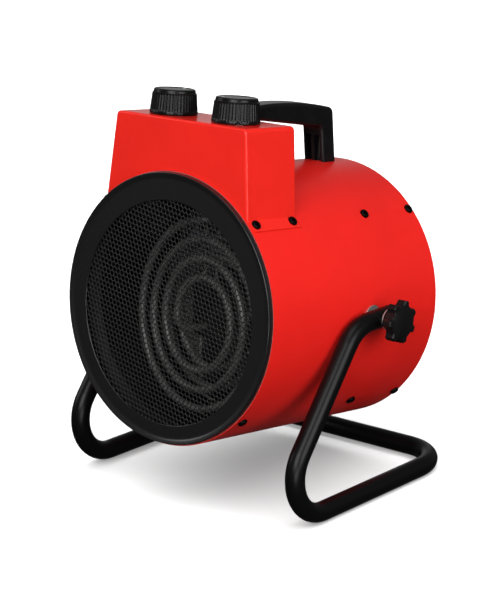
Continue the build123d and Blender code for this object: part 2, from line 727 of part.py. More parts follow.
def make_cable_entry():
    """Cable gland through the box's rear wall, and the terminal block inside."""
    place = Pos(gland_side, box_rear, gland_height) * Rot(-90, 0, 0)
    thread = gland_thread_radius
    collar = hex_prism(gland_flats, gland_collar)
    neck = Pos(0, 0, gland_collar) * extrude(Circle(thread), 7)
    shank = Pos(0, 0, -sheet_wall - gland_lock_height - 3) * extrude(
        Circle(thread), sheet_wall + gland_lock_height + 3)
    bore = Pos(0, 0, -30) * extrude(Circle(gland_bore_radius), 80)
    pieces["cable_gland"] = place * (collar + neck + shank - bore)
    dome_foot = gland_collar + 0.4
    dome = Pos(0, 0, dome_foot) * hex_prism(gland_flats, gland_dome_length * 0.55)
    cap = extrude(Circle(gland_flats / 2 - 0.4), gland_dome_length)
    cap = fillet(cap.edges().group_by(Axis.Z)[-1], 5)
    dome += Pos(0, 0, dome_foot) * cap
    dome -= extrude(Circle(thread + fit_gap / 2), dome_foot + 7.2)
    pieces["gland_nut"] = place * (dome - bore)
    lock = hex_prism(gland_flats, gland_lock_height) - Cylinder(thread + fit_gap / 2, 30)
    pieces["gland_lock_nut"] = place * Pos(0, 0, -sheet_wall - gland_lock_height) * lock
    wide, deep, high = terminal_size
    block = Box(wide, deep, high)
    screws = []
    seat = box_rear - sheet_wall - fit_gap / 2 - deep / 2
    for x in (-wide / 3, 0, wide / 3):
        block -= Pos(x, 0, 0) * Rot(90, 0, 0) * Cylinder(lead_radius + fit_gap / 2, 2 * deep)
        block -= Pos(x, 0, high / 2) * Cylinder(screw_shank_radius + fit_gap / 2, high)
        screw = extrude(Circle(screw_shank_radius), high / 2 - lead_radius - 1)
        screw -= Pos(0, 0, high / 2 - lead_radius - 1) * Box(2 * screw_shank_radius, 0.8, 1.6)
        screws.append(Pos(terminal_side + x, seat, terminal_height + lead_radius) * screw)
    pieces["terminal_block"] = Pos(terminal_side, seat, terminal_height) * block
    pieces["terminal_screws"] = group(screws)


def element_ends():
    """Middle of the boot on each tail: front inner, front outer, rear inner, rear outer."""
    ends = []
    for plane_depth, first_over in ((0, True), (coil_spacing, False)):
        tails = coil_path(plane_depth, first_over)[1:]
        depth = tail_end + boot_cap - boot_length / 2
        ends += [(coil_centre * Pos(tail.X, depth, tail.Z)).position for tail in tails]
    return ends


def duct_passes():
    """Places on top of the duct where a lead goes down through a bead."""
    front_inner, front_outer, _, rear_outer = element_ends()
    return [(front_inner.X, front_inner.Y), (front_outer.X, front_outer.Y + rear_pass),
            (left_lane, rear_outer.Y)]


def make_cutout():
    """Snap-action thermal cut-out screwed to the top of the duct by its two ears."""
    seat = duct_radius + cutout_strap
    body = Pos(0, cutout_depth, seat - 2) * extrude(Circle(cutout_radius), cutout_height + 2 - cutout_strap)
    strap = Pos(0, cutout_depth, seat - 1) * Box(2 * cutout_ear + 6, 6, 2)
    for side in (1, -1):
        lug = Pos(side * cutout_lug_side, cutout_depth - cutout_radius - lug_length / 2 + 1.5,
                  cutout_lug_height)
        body += lug * Box(lug_width, lug_length + 3, lug_sheet)
        strap -= Pos(side * cutout_ear, cutout_depth, seat) * Cylinder(cutout_screw_radius + fit_gap / 2, 8)
    pieces["thermal_cutout"] = body + strap - disc_along_y(duct_radius, 0, drum_length)
    screw = round_screw(3, cutout_screw_radius, cutout_screw_radius + 1, 1.3)
    pieces["cutout_screws"] = group(
        [Pos(side * cutout_ear, cutout_depth, seat) * screw for side in (1, -1)])


def lead_sleeve():
    """Push-on sleeve over a flat lug that points down, with the lug's tip at Z = 0."""
    sleeve = Box(lug_sheet + 2 * sleeve_wall, lug_width + 2 * sleeve_wall, sleeve_length)
    slot = Box(lug_sheet + fit_gap / 2, lug_width + fit_gap / 2, sleeve_length)
    sleeve = Pos(0, 0, sleeve_length / 2 - sleeve_cap) * sleeve
    return sleeve - Pos(0, 0, sleeve_length / 2 - fit_gap / 4) * slot


def make_boots():
    """Insulating boot over the end of each element's tail."""
    boot = extrude(Circle(boot_radius), boot_length)
    boot -= extrude(Circle(coil_tube_radius + fit_gap / 4), boot_length - boot_cap)
    boot = Rot(-90, 0, 0) * boot
    start = Pos(0, -boot_length / 2, 0)
    turn = Rot(0, 0, -coil_turn)
    pieces["element_boots"] = group([Pos(*end) * turn * start * boot for end in element_ends()])


def lead(points, radii):
    """An insulated lead along straight runs joined by round bends."""
    path = FilletPolyline(*points, radius=radii)
    wire = path.wire() if hasattr(path, "wire") else path
    start = Plane(origin=wire @ 0, z_dir=wire % 0)
    tube = sweep(start * Circle(lead_radius), wire)
    ratio = tube.volume / (wire.length * math.pi * lead_radius ** 2)
    print(f"lead: {wire.length:.0f} mm long, volume ratio {ratio:.4f}")
    return tube


def motor_end(angle, reach):
    """Point abreast of the motor's window at this angle to the horizontal."""
    turn = math.radians(angle)
    return reach * math.cos(turn), motor_front + window_depth, reach * math.sin(turn)


def control_leads(ports, port):
    """Live in to the switch, switch to thermostat, thermostat to the cut-out."""
    (_, middle, right), switch_foot = lug_places("switch")
    (left, centre, _), thermostat_foot = lug_places("thermostat")
    y = knob_depth
    side, lug_z = cutout_lug_side, cutout_lug_height
    return [
        lead([(ports[0], port + lead_grip, terminal_height), (ports[0], port - 8, terminal_height),
              (ports[0], port - 8, 109), (right, y, 108), (right, y, switch_foot)], [4, 4, 2.4]),
        lead([(middle, y, switch_foot), (middle, y, 108.5), (middle + 4, y - 6, 110.5),
              (centre - 14, y - 6, 110.5), (left, y, 111), (left, y, thermostat_foot)],
             [2.4, 3, 4, 2.2]),
        lead([(centre, y, thermostat_foot), (centre, y, 110), (centre - 11, y + 4, 106),
              (side, y + 4, lug_z), (side, cutout_foot, lug_z)], [2.4, 6, 3]),
    ]


def element_leads(ports, port):
    """Cut-out to the first element, neutral to both elements, switch to the second element."""
    front_inner, front_outer, rear_inner, rear_outer = element_ends()
    (left, _, _), switch_foot = lug_places("switch")
    y = knob_depth
    side, lug_z = cutout_lug_side, cutout_lug_height
    beside = boot_radius / math.cos(math.radians(coil_turn)) + fit_gap
    rear = front_outer.Y + rear_pass
    high = duct_radius + 2
    return [
        lead([(-side, cutout_foot, lug_z), (-side, y + 4, lug_z), (front_inner.X, y + 4, high),
              (front_inner.X, front_inner.Y, high),
              (front_inner.X, front_inner.Y, front_inner.Z + boot_radius)], [3, 5, 2.4]),
        lead([(front_outer.X, front_outer.Y, front_outer.Z + boot_radius),
              (front_outer.X, front_outer.Y, 80), (front_outer.X, rear, 90),
              (front_outer.X, rear, high + 1), (17.5, 66, high), (17.5, 39, high + 0.5),
              (ports[1], 36, 116), (ports[1], 36, terminal_height),
              (ports[1], port + lead_grip, terminal_height)], [5, 5, 2.4, 8, 5, 6, 4]),
        lead([(rear_inner.X, rear_inner.Y, rear_inner.Z + boot_radius),
              (rear_inner.X, rear_inner.Y, 55), (35, front_outer.Y, front_outer.Z),
              (front_outer.X + beside, front_outer.Y, front_outer.Z)], [8, 8]),
        lead([(rear_outer.X - beside, rear_outer.Y, rear_outer.Z), (-22, rear_outer.Y, rear_outer.Z),
              (left_lane, rear_outer.Y, -66), (left_lane, rear_outer.Y, lane_height),
              (left_lane, 42, lane_height), (left_lane + 1, y + 6, 109.5), (left, y, 109.5),
              (left, y, switch_foot)], [8, 8, 2.4, 5, 3, 1.8]),
    ]


def motor_leads(ports, port):
    """Neutral and thermostat to the motor, over the duct and in through two of its windows."""
    (_, _, right), foot = lug_places("thermostat")
    y = knob_depth
    high = duct_radius + 2
    return [
        lead([(ports[2], port + lead_grip, terminal_height), (ports[2], port - 5, terminal_height),
              (24, port - 5, 114), (24, port - 5, high), (24, motor_front - 4, high),
              motor_end(72, 65), motor_end(72, motor_bore)], [4, 5, 4, 8, 8]),
        lead([(right, y, foot), (right, y, 110.5), (right_lane + 1, y + 8, 106),
              (right_lane, 45, lane_height), (right_lane, motor_front - 3, lane_height),
              motor_end(36, 62), motor_end(36, motor_bore)], [2.4, 5, 6, 8, 8]),
    ]


def lug_places(name):
    """Where a control's three lugs stand across the heater, and the foot of their sleeves."""
    x = knob_places()[0 if name == "switch" else 1]
    deep = switch_size[2] if name == "switch" else thermostat_size[2]
    tip = box_top - sheet_wall - fit_gap / 2 - deep - lug_length
    return [x - lug_pitch, x, x + lug_pitch], tip - sleeve_cap


def make_leads():
    """Insulated leads, the sleeves on their lugs and the beads where they enter the duct."""
    port = box_rear - sheet_wall - terminal_size[1]
    ports = [terminal_side + step * terminal_size[0] / 3 for step in (-1, 0, 1)]
    stator = disc_along_y(motor_bore, motor_front, motor_front + motor_depth)
    leads = control_leads(ports, port) + element_leads(ports, port) + motor_leads(ports, port)
    pieces["leads"] = group([tube - stator for tube in leads])
    sleeves = []
    for name in ("switch", "thermostat"):
        places, foot = lug_places(name)
        sleeves += [Pos(x, knob_depth, foot + sleeve_cap) * lead_sleeve() for x in places]
    for x in (-cutout_lug_side, cutout_lug_side):
        facing = Plane(origin=(x, cutout_foot + sleeve_cap, cutout_lug_height),
                       x_dir=(0, 0, 1), z_dir=(0, 1, 0))
        sleeves.append(facing.location * lead_sleeve())
    pieces["lead_sleeves"] = group(sleeves)
    bead = Cylinder(bead_radius, bead_length) - Cylinder(lead_radius + fit_gap / 2, 2 * bead_length)
    pieces["duct_beads"] = group(
        [Pos(x, y, math.sqrt(duct_radius ** 2 - x ** 2) - bead_length / 3) * bead
         for x, y in duct_passes()])


def handle_screw_depths():
    return [handle_front + handle_screw_inset, handle_rear - handle_screw_inset]


def arched_outline(front, rear, foot, heights, corner):
    """Side view with leaning ends and an arched top, drawn through three heights."""
    def front_end(height):
        return front + handle_front_slope * (height - drum_radius), height

    def rear_end(height):
        return rear - handle_rear_slope * (height - drum_radius), height

    left, right = front_end(heights[0]), rear_end(heights[2])
    crown = (handle_crown_depth, heights[1])
    edges = [Line(right, rear_end(foot)), Line(rear_end(foot), front_end(foot)),
             Line(front_end(foot), left), ThreePointArc(left, crown, right)]
    outline = make_face(edges)
    corners = [vertex for vertex in outline.vertices() if vertex.Y > foot + 1]
    return fillet(corners, corner)


def make_handle():
    """Moulded carry handle, hollow on the hand's side of each leg."""
    front, rear, leg = handle_front, handle_rear, handle_leg
    foot = drum_radius - 2
    outer = arched_outline(front, rear, foot, handle_tops, handle_corner)
    gap = arched_outline(front + leg, rear - leg, foot - 5, handle_unders, handle_inner_corner)
    handle = extrude(Plane.YZ * (outer - gap), handle_width / 2, both=True)
    rims = [edge for edge in handle.faces().filter_by(Axis.X).edges()
            if edge.center().Z > drum_radius + 4]
    handle = fillet(rims, handle_edge)
    low, high = drum_radius - 6, handle_unders[2] - 7
    width = (handle_width - 3 * handle_wall) / 2
    pocket = Box(width, 2 * (leg - handle_wall), high - low)
    middle = (low + high) / 2
    for side, face, slope in ((1, rear - leg, handle_rear_slope), (-1, front + leg, handle_front_slope)):
        place = Pos(0, face - side * slope * (middle - drum_radius), middle)
        place *= Rot(side * math.degrees(math.atan(slope)), 0, 0)
        for x in (-(width + handle_wall) / 2, (width + handle_wall) / 2):
            handle -= place * Pos(x, 0, 0) * pocket
    for depth in handle_screw_depths():
        handle += Pos(0, depth, foot + handle_boss / 2) * Cylinder(handle_screw_radius + 2.4, handle_boss)
        bore = Cylinder(handle_screw_radius + fit_gap / 4, 2 * (handle_boss - 5))
        handle -= Pos(0, depth, foot) * bore
    handle -= disc_along_y(drum_radius + fit_gap / 2, -50, 2 * drum_length)
    pieces["carry_handle"] = handle
    screw = round_screw(18, handle_screw_radius, handle_screw_radius + 2, 2.4)
    flat = math.sqrt(drum_bore ** 2 - (handle_screw_radius + 2) ** 2)
    pieces["handle_screws"] = group(
        [Pos(0, depth, flat) * Rot(180, 0, 0) * screw for depth in handle_screw_depths()])


def stand_path():
    """Centre line of the stand tube, in the floor's frame with the pivot at Y = 0."""
    foot = tube_radius
    side = tube_centre
    half = [(arm_end, pivot_height), (-arm_bend_ahead, pivot_height), (-foot_bend_ahead, foot),
            (rear_bar_behind, foot)]
    right = [(side, y, z) for y, z in half]
    left = [(-side, y, z) for y, z in reversed(half)]
    radii = [arm_bend_radius, foot_bend_radius, rear_bend_radius]
    return FilletPolyline(*right, *left, radius=radii + radii[::-1])


def make_stand():
    path = stand_path()
    wire = path.wire() if hasattr(path, "wire") else path
    start = Plane(origin=wire @ 0, z_dir=wire % 0)
    ring = Circle(tube_radius) - Circle(tube_radius - tube_wall)
    tube = sweep(start * ring, wire)
    expected = wire.length * math.pi * (tube_radius ** 2 - (tube_radius - tube_wall) ** 2)
    print(f"stand tube: {wire.length:.0f} mm long, volume ratio {tube.volume / expected:.4f}")
    hole = Rot(0, 90, 0) * Cylinder(stud_radius + stud_clearance, 4 * drum_radius)
    tube -= Pos(0, 0, pivot_height) * hole
    pieces["stand_tube"] = tube
    inner = tube_radius - tube_wall - fit_gap / 4
    plugs, washers = [], []
    for side in (1, -1):
        lip = fillet(Cylinder(tube_radius, plug_lip).edges().group_by(Axis.Z)[-1], 1)
        plug = Pos(0, 0, plug_lip / 2) * lip + Pos(0, 0, -plug_depth / 2) * Cylinder(inner, plug_depth)
        plug -= Pos(0, 0, -plug_depth) * Cylinder(inner - 1.2, 2 * (plug_depth - 1.2))
        plug = Pos(side * tube_centre, arm_end, pivot_height) * Rot(-90, 0, 0) * plug
        plugs.append(plug - Pos(0, 0, pivot_height) * hole)
        for seat in (drum_radius + side_gap - washer_sheet, tube_face):
            washer = Circle(washer_radius) - Circle(stud_radius + stud_clearance)
            washer = Rot(0, 90, 0) * extrude(washer, washer_sheet)
            if side < 0:
                washer = washer.mirror(Plane.YZ)
            washers.append(Pos(side * seat, 0, pivot_height) * washer)
    pieces["tube_end_plugs"] = group(plugs)
    pieces["pivot_washers"] = group(washers)


def make_tilt_knob():
    """Seven-lobed clamping knob on its hub, drawn about Z with its hub's foot at 0."""
    notch_centre = star_radius - star_notch_depth + star_notch_radius
    outline = Circle(star_radius) - PolarLocations(notch_centre, star_lobes) * Circle(star_notch_radius)
    outline = fillet(outline.vertices(), 1.2)
    head = extrude(outline, star_thickness)
    head = fillet(head.edges().group_by(Axis.Z)[-1], star_edge)
    dome = Pos(0, 0, star_thickness) * Sphere((star_radius * 0.72) ** 2 / (2 * star_crown))
    dome = Pos(0, 0, star_crown - (star_radius * 0.72) ** 2 / (2 * star_crown)) * dome
    dome &= Pos(0, 0, star_thickness) * Cylinder(star_radius * 0.8, 2 * star_crown + 1)
    head += dome
    return extrude(Circle(star_hub_radius), star_hub_length) + Pos(0, 0, star_hub_length) * head


def make_tilt_knobs():
    foot = tube_face + washer_sheet + 0.1
    stud_start = drum_bore - plate_sheet - nut_height - 1.5
    stud_end = foot + star_hub_length + star_thickness * 0.5
    for name, side in (("right", 1), ("left", -1)):
        knob = make_tilt_knob()
        knob -= extrude(Circle(stud_radius), stud_end - foot)
        stud = chamfer(Cylinder(stud_radius, stud_end - stud_start).edges(), 0.5)
        stud = Pos(side * (stud_start + stud_end) / 2, pivot_depth, 0) * Rot(0, 90, 0) * stud
        turn = Rot(0, 90, 0) * Rot(0, 0, 90)
        knob = Pos(foot, pivot_depth, 0) * turn * knob
        if side < 0:
            knob = knob.mirror(Plane.YZ)
        pieces[name + "_tilt_knob"] = knob
        pieces[name + "_tilt_stud"] = stud


def make_pivot_plates():
    """Backing plates inside the drum's sides, each with the nut its stud screws into."""
    outer = drum_bore - fit_gap / 2
    plates = []
    for side in (1, -1):
        plate = tube_along_y(outer, outer - plate_sheet, -plate_width / 2, plate_width / 2)
        plate &= Pos(side * outer, 0, 0) * Box(30, 2 * plate_width, plate_width)
        nut = Pos(side * (outer - plate_sheet - nut_height / 2 + 0.3), 0, 0) * Rot(0, 90, 0)
        nut *= Pos(0, 0, -nut_height / 2) * hex_prism(nut_flats, nut_height)
        plate = plate + nut
        plate -= Rot(0, 90, 0) * Cylinder(stud_radius + nut_clearance, 4 * drum_radius)
        plates.append(Pos(0, pivot_depth, 0) * plate)
    pieces["pivot_nut_plates"] = group(plates)


make_drum()
make_front_ring()
make_front_net()
make_duct()
make_elements()
make_fan()
make_motor()
make_motor_bracket()
make_rear_grille()
make_control_box()
make_controls()
make_cable_entry()
make_cutout()
make_boots()
make_leads()
make_handle()
make_tilt_knobs()
make_pivot_plates()
drum_pieces = list(pieces)
make_stand()

# ---- place everything: the origin is on the floor under the middle of the heater -------------
hang = Pos(0, 0, pivot_height) * Rot(-nose_up, 0, 0) * Pos(0, -pivot_depth, 0)
for node in drum_pieces:
    pieces[node] = hang * pieces[node]
boxes = [shape.bounding_box() for shape in pieces.values()]
low = [min(getattr(box.min, axis) for box in boxes) for axis in "XYZ"]
high = [max(getattr(box.max, axis) for box in boxes) for axis in "XYZ"]
middle = [(start + end) / 2 for start, end in zip(low, high)]
to_origin = Pos(-middle[0], -middle[1], -low[2])

os.makedirs("parts", exist_ok=True)
for node, shape in pieces.items():
    export_step(to_origin * shape, f"parts/{node}.step")
print("size", [round(end - start, 2) for start, end in zip(low, high)])
print("pivot", [round(-middle[0], 3), round(-middle[1], 3), round(pivot_height - low[2], 3)])
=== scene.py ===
import json
import math

import bmesh
import bpy
import numpy as np
from mathutils import Matrix, Vector


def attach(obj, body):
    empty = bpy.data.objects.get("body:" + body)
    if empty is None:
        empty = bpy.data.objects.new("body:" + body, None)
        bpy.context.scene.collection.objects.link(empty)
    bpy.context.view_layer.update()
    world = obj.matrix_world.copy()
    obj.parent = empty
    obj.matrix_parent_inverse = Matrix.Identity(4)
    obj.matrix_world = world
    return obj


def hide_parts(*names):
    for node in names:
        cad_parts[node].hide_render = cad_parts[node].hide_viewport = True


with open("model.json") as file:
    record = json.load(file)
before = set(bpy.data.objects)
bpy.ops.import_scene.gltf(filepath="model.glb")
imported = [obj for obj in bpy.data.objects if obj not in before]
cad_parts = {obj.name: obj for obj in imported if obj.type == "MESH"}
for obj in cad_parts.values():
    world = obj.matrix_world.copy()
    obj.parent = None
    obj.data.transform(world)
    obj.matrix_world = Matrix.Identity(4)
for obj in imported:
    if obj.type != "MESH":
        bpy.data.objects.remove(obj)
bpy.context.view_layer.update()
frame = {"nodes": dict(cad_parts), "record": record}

scene = bpy.context.scene
mm = 0.001

# The drum's own frame: origin on its axis at the front edge, +Y along the axis to the rear, millimetres.
# In the row frame the drum is tipped nose up about the stand's pivot.
drum = {"noseUp": 7.0, "pivotDepth": 121.5, "pivotY": 19.94, "pivotZ": 149.6, "bore": 109.0}
tipped = math.radians(-drum["noseUp"])
drumTurn = np.array(Matrix.Rotation(tipped, 3, "X"))
drumShift = np.array([0, drum["pivotY"], drum["pivotZ"]])


def fromDrum(points):
    # drum frame in mm to row frame in metres
    points = np.asarray(points, float) - [0, drum["pivotDepth"], 0]
    return (points @ drumTurn.T + drumShift) * mm


def linear(hexCode):
    # hex sRGB to linear RGBA
    channels = [int(hexCode[i:i + 2], 16) / 255 for i in (1, 3, 5)]
    return tuple(c / 12.92 if c <= 0.04045 else ((c + 0.055) / 1.055) ** 2.4 for c in channels) + (1.0,)


def addNode(tree, kind, settings=None, inputs=None, links=None):
    node = tree.nodes.new(kind)
    for key, value in (settings or {}).items():
        setattr(node, key, value)
    for key, value in (inputs or {}).items():
        node.inputs[key].default_value = value
    for key, source in (links or {}).items():
        tree.links.new(source, node.inputs[key])
    return node


def newMaterial(name):
    material = bpy.data.materials.new(name)
    material.use_nodes = True
    tree = material.node_tree
    tree.nodes.clear()
    coordinates = addNode(tree, "ShaderNodeTexCoord").outputs["Object"]
    shader = addNode(tree, "ShaderNodeBsdfPrincipled")
    addNode(tree, "ShaderNodeOutputMaterial", links={"Surface": shader.outputs["BSDF"]})
    return material, tree, coordinates, shader


def noise(tree, coordinates, sizeMm, detail, rough=0.5, stretch=None):
    # noise whose blotches are about sizeMm across
    vector = coordinates
    if stretch:
        scaling = addNode(tree, "ShaderNodeMapping", inputs={"Scale": stretch}, links={"Vector": coordinates})
        vector = scaling.outputs["Vector"]
    return addNode(tree, "ShaderNodeTexNoise", inputs={"Scale": 1 / (sizeMm * mm), "Detail": detail,
                   "Roughness": rough}, links={"Vector": vector}).outputs["Fac"]


def ranged(tree, value, low, high, fromLow=0.3, fromHigh=0.7):
    # spreads a value over low to high; most of a noise lies between 0.3 and 0.7
    return addNode(tree, "ShaderNodeMapRange", inputs={"From Min": fromLow, "From Max": fromHigh,
                   "To Min": low, "To Max": high}, links={"Value": value}).outputs["Result"]


def mixed(tree, factor, colourA, colourB):
    # a colour mix takes its two colours at sockets 6 and 7 and gives its result at socket 2
    node = addNode(tree, "ShaderNodeMix", {"data_type": "RGBA"}, links={"Factor": factor})
    for socket, colour in ((node.inputs[6], colourA), (node.inputs[7], colourB)):
        if isinstance(colour, tuple):
            socket.default_value = colour
        else:
            tree.links.new(colour, socket)
    return node.outputs[2]


def bumped(tree, shader, height, depthMm, strength):
    bump = addNode(tree, "ShaderNodeBump", inputs={"Strength": strength, "Distance": depthMm * mm},
                   links={"Height": height})
    tree.links.new(bump.outputs["Normal"], shader.inputs["Normal"])


def shaded(colour, share):
    return tuple(c * share for c in colour[:3]) + (1.0,)


def powderPaint(name, hexCode, roughness, peelMm=1.6, peelDepth=0.012, specular=0.5, innerHex=None):
    # oven-cured powder paint: a level colour, a faint orange peel and fine changes of gloss;
    # with innerHex, the drum's bore shows thin grey primer in place of the finish coat
    material, tree, coordinates, shader = newMaterial(name)
    base = linear(hexCode)
    broad = noise(tree, coordinates, 45, 3)
    colour = mixed(tree, ranged(tree, broad, 0, 1), shaded(base, 0.93), base)
    if innerHex:
        back = Matrix.Rotation(-tipped, 3, "X")
        place = back @ Vector((0, -drum["pivotY"] * mm, -drum["pivotZ"] * mm))
        inDrum = addNode(tree, "ShaderNodeMapping", inputs={"Rotation": (-tipped, 0, 0), "Location": place},
                         links={"Vector": coordinates}).outputs["Vector"]
        across = addNode(tree, "ShaderNodeVectorMath", {"operation": "MULTIPLY"}, {1: (1, 0, 1)},
                         {0: inDrum})
        reach = addNode(tree, "ShaderNodeVectorMath", {"operation": "LENGTH"}, None,
                        {0: across.outputs["Vector"]}).outputs["Value"]
        edge = (drum["bore"] + 0.15) * mm  # the finish coat starts just outside the bore
        outside = ranged(tree, reach, 0, 1, edge, edge + 0.1 * mm)
        primer = mixed(tree, ranged(tree, broad, 0, 1), linear(innerHex), shaded(linear(innerHex), 0.7))
        colour = mixed(tree, outside, primer, colour)
    tree.links.new(colour, shader.inputs["Base Color"])
    fine = noise(tree, coordinates, 0.35, 3, 0.6)
    tree.links.new(ranged(tree, fine, roughness - 0.03, roughness + 0.04), shader.inputs["Roughness"])
    shader.inputs["Specular IOR Level"].default_value = specular
    bumped(tree, shader, noise(tree, coordinates, peelMm, 1), peelDepth, 0.6)
    return material


def mouldedPlastic(name, hexCode, roughness, grainMm=0.28, grainDepth=0.012, specular=0.5):
    # injection-moulded plastic: even colour and a fine spark-eroded grain that softens its gloss
    material, tree, coordinates, shader = newMaterial(name)
    base = linear(hexCode)
    lighter = tuple(min(1, c * 1.25 + 0.001) for c in base[:3]) + (1.0,)
    cloud = noise(tree, coordinates, 14, 2)
    tree.links.new(mixed(tree, ranged(tree, cloud, 0, 1), base, lighter), shader.inputs["Base Color"])
    grain = noise(tree, coordinates, grainMm, 2, 0.55)
    tree.links.new(ranged(tree, grain, roughness - 0.05, roughness + 0.07), shader.inputs["Roughness"])
    shader.inputs["Specular IOR Level"].default_value = specular
    bumped(tree, shader, grain, grainDepth, 0.7)
    return material


def drawnMetal(name, hexCode, roughness, lineMm=(8.0, 0.25), tint=0.06):
    # plated or drawn metal: fine drawn lines along Y and a faint warm cloud in the plating
    material, tree, coordinates, shader = newMaterial(name)
    base = linear(hexCode)
    warm = tuple(c * (1 - tint * k) for c, k in zip(base[:3], (0.5, 1.0, 1.8))) + (1.0,)
    cloud = noise(tree, coordinates, 5, 3)
    tree.links.new(mixed(tree, ranged(tree, cloud, 0, 1), base, warm), shader.inputs["Base Color"])
    shader.inputs["Metallic"].default_value = 1.0
    lines = noise(tree, coordinates, lineMm[1], 2, 0.6, (1.0, lineMm[1] / lineMm[0], 1.0))
    tree.links.new(ranged(tree, lines, roughness - 0.07, roughness + 0.1), shader.inputs["Roughness"])
    bumped(tree, shader, lines, 0.006, 0.5)
    return material


def galvanisedSheet(name, hexCode, roughness, spangleMm=7.0, dark=0.72):
    # hot-dip galvanised sheet: zinc crystals a few millimetres across, each with its own grey and gloss
    material, tree, coordinates, shader = newMaterial(name)
    cells = addNode(tree, "ShaderNodeTexVoronoi", inputs={"Scale": 1 / (spangleMm * mm), "Randomness": 1.0},
                    links={"Vector": coordinates})
    grey = addNode(tree, "ShaderNodeSeparateColor", links={"Color": cells.outputs["Color"]}).outputs["Red"]
    base = linear(hexCode)
    tree.links.new(mixed(tree, ranged(tree, grey, 0, 1, 0, 1), shaded(base, dark), base),
                   shader.inputs["Base Color"])
    tree.links.new(ranged(tree, grey, roughness - 0.08, roughness + 0.12, 0, 1), shader.inputs["Roughness"])
    shader.inputs["Metallic"].default_value = 0.9
    bumped(tree, shader, noise(tree, coordinates, 0.5, 2), 0.008, 0.5)
    return material


def heatedTube(name):
    # stainless element tube that has run red: brown-grey oxide in drifts, with lighter specks
    material, tree, coordinates, shader = newMaterial(name)
    drift = noise(tree, coordinates, 18, 4, 0.6)
    colour = mixed(tree, ranged(tree, drift, 0, 1), linear("#6b6a68"), linear("#4b4a48"))
    speck = noise(tree, coordinates, 0.8, 3, 0.7)
    colour = mixed(tree, ranged(tree, speck, 0, 0.5, 0.5, 0.75), colour, linear("#777674"))
    tree.links.new(colour, shader.inputs["Base Color"])
    shader.inputs["Metallic"].default_value = 0.35
    tree.links.new(ranged(tree, speck, 0.34, 0.52), shader.inputs["Roughness"])
    bumped(tree, shader, speck, 0.01, 0.6)
    return material


def laminations(name, sheetMm=0.5):
    # stacked motor sheets seen edge on, with varnish over them
    material, tree, coordinates, shader = newMaterial(name)
    wave = addNode(tree, "ShaderNodeTexWave", {"bands_direction": "Y"},
                   {"Scale": 1 / (sheetMm * mm * 2 * math.pi), "Distortion": 0.4},
                   {"Vector": coordinates}).outputs["Fac"]
    tree.links.new(mixed(tree, wave, linear("#2c2b2b"), linear("#5c5956")), shader.inputs["Base Color"])
    shader.inputs["Metallic"].default_value = 0.7
    shader.inputs["Roughness"].default_value = 0.45
    bumped(tree, shader, wave, 0.05, 0.6)
    return material


def ovenCeramic(name, hexCode, roughness):
    # pressed and fired steatite: chalky off-white with small grey pits
    material, tree, coordinates, shader = newMaterial(name)
    pits = noise(tree, coordinates, 0.6, 3, 0.7)
    base = linear(hexCode)
    tree.links.new(mixed(tree, ranged(tree, pits, 0, 1, 0.25, 0.45), shaded(base, 0.6), base),
                   shader.inputs["Base Color"])
    shader.inputs["Roughness"].default_value = roughness
    bumped(tree, shader, pits, 0.03, 0.8)
    return material


def braidedSheath(name, hexCode, threadMm=0.7):
    # glass-fibre sleeving: crossed threads that catch light on their crowns
    material, tree, coordinates, shader = newMaterial(name)
    base = linear(hexCode)
    threads = addNode(tree, "ShaderNodeTexVoronoi", {"feature": "DISTANCE_TO_EDGE"},
                      {"Scale": 1 / (threadMm * mm), "Randomness": 0.35},
                      {"Vector": coordinates}).outputs["Distance"]
    tree.links.new(mixed(tree, ranged(tree, threads, 0, 1, 0, 0.25), shaded(base, 0.45), base),
                   shader.inputs["Base Color"])
    shader.inputs["Roughness"].default_value = 0.6
    bumped(tree, shader, threads, 0.08, 0.9)
    return material


# finishes by the record's slots: paint hex, gloss as roughness, shine as specular level
redPaint = {"hex": "#e5201a", "gloss": 0.34, "shine": 0.36, "inner": "#8a8884"}
blackPaint = {"hex": "#0f0f10", "gloss": 0.33, "shine": 0.22}

look = {
    "red_paint": powderPaint("red powder paint on folded steel", redPaint["hex"], redPaint["gloss"],
                             specular=redPaint["shine"]),
    "black_paint": powderPaint("satin black powder paint on steel", blackPaint["hex"], blackPaint["gloss"],
                               peelMm=0.9, peelDepth=0.008, specular=blackPaint["shine"]),
    "net_black": powderPaint("thin black paint on perforated steel", "#161617", 0.4,
                             peelMm=0.5, peelDepth=0.006, specular=0.3),
    "galvanised_sheet": galvanisedSheet("galvanised steel sheet", "#a9abad", 0.36),
    "element_steel": heatedTube("oxidised stainless tube"),
    "zinc_steel": drawnMetal("bright zinc-plated steel", "#cfcfca", 0.28),
    "black_steel": drawnMetal("blackened screw steel", "#161515", 0.42),
    "black_plastic": mouldedPlastic("black moulded nylon", "#090909", 0.24, specular=0.2),
    "white_plastic": mouldedPlastic("white moulded plastic", "#e9e8e3", 0.35),
    "motor_paint": powderPaint("grey motor enamel", "#2e3032", 0.42, peelMm=1.2),
    "fan_aluminium": drawnMetal("pressed aluminium", "#9b9da0", 0.42, lineMm=(20.0, 0.4), tint=0.01),
    "bush_bronze": drawnMetal("sintered bronze", "#a8794c", 0.5, lineMm=(0.6, 0.6), tint=0.03),
    "lamination_steel": laminations("varnished motor laminations"),
    "switch_brown": mouldedPlastic("dark thermoset moulding", "#2a201a", 0.4),
    "lead_sheath": braidedSheath("glass-fibre sleeving", "#8d8980"),
    "boot_rubber": mouldedPlastic("moulded silicone rubber", "#3a3634", 0.6, grainMm=0.4, grainDepth=0.01,
                                  specular=0.4),
    "bead_ceramic": ovenCeramic("fired steatite", "#d9d4c6", 0.55),
    "cutout_resin": mouldedPlastic("phenolic resin moulding", "#241a16", 0.42),
}

tiltKnobNylon = mouldedPlastic("black moulded knob nylon", "#0d0d0e", 0.32, specular=0.19)
